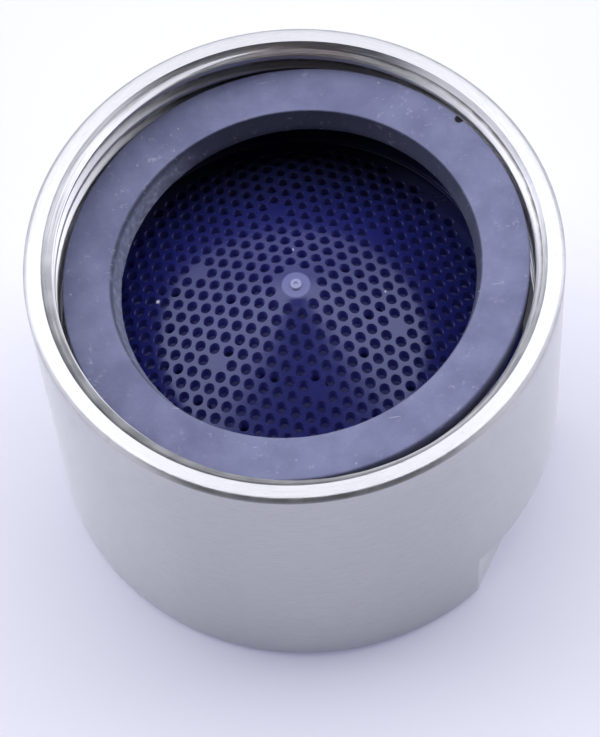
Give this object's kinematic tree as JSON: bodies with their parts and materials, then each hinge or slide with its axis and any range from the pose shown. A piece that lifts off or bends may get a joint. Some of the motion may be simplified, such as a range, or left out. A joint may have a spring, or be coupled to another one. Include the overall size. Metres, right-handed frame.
{
  "type": "tap aerator",
  "caption": "Round brushed-metal tap aerator with a female thread, a rubber sealing washer, a violet-blue perforated cone strainer and an air-mixing insert.",
  "frame": {"origin": "centre of the outlet end, on the surface that the aerator stands on", "axes": "+Z along the thread axis towards the threaded mouth, -Y towards the viewer of the picture, +X to the viewer's right"},
  "size_m": [0.024, 0.024, 0.0172],
  "materials": {
    "brushed_nickel": "turned and finely brushed around the axis, rim face bright",
    "washer_rubber": "matte slate blue-grey with dust specks",
    "violet_plastic": "glossy moulded violet-blue",
    "white_plastic": "moulded, satin",
    "grey_plastic": "moulded, satin"
  },
  "bodies": {
    "root": {"housing": "brushed_nickel", "sealing_washer": "washer_rubber", "strainer": "violet_plastic", "jet_plate": "violet_plastic", "insert_body": "white_plastic", "breaker_grid": "grey_plastic", "outlet_grid": "grey_plastic"}
  },
  "joints": []
}
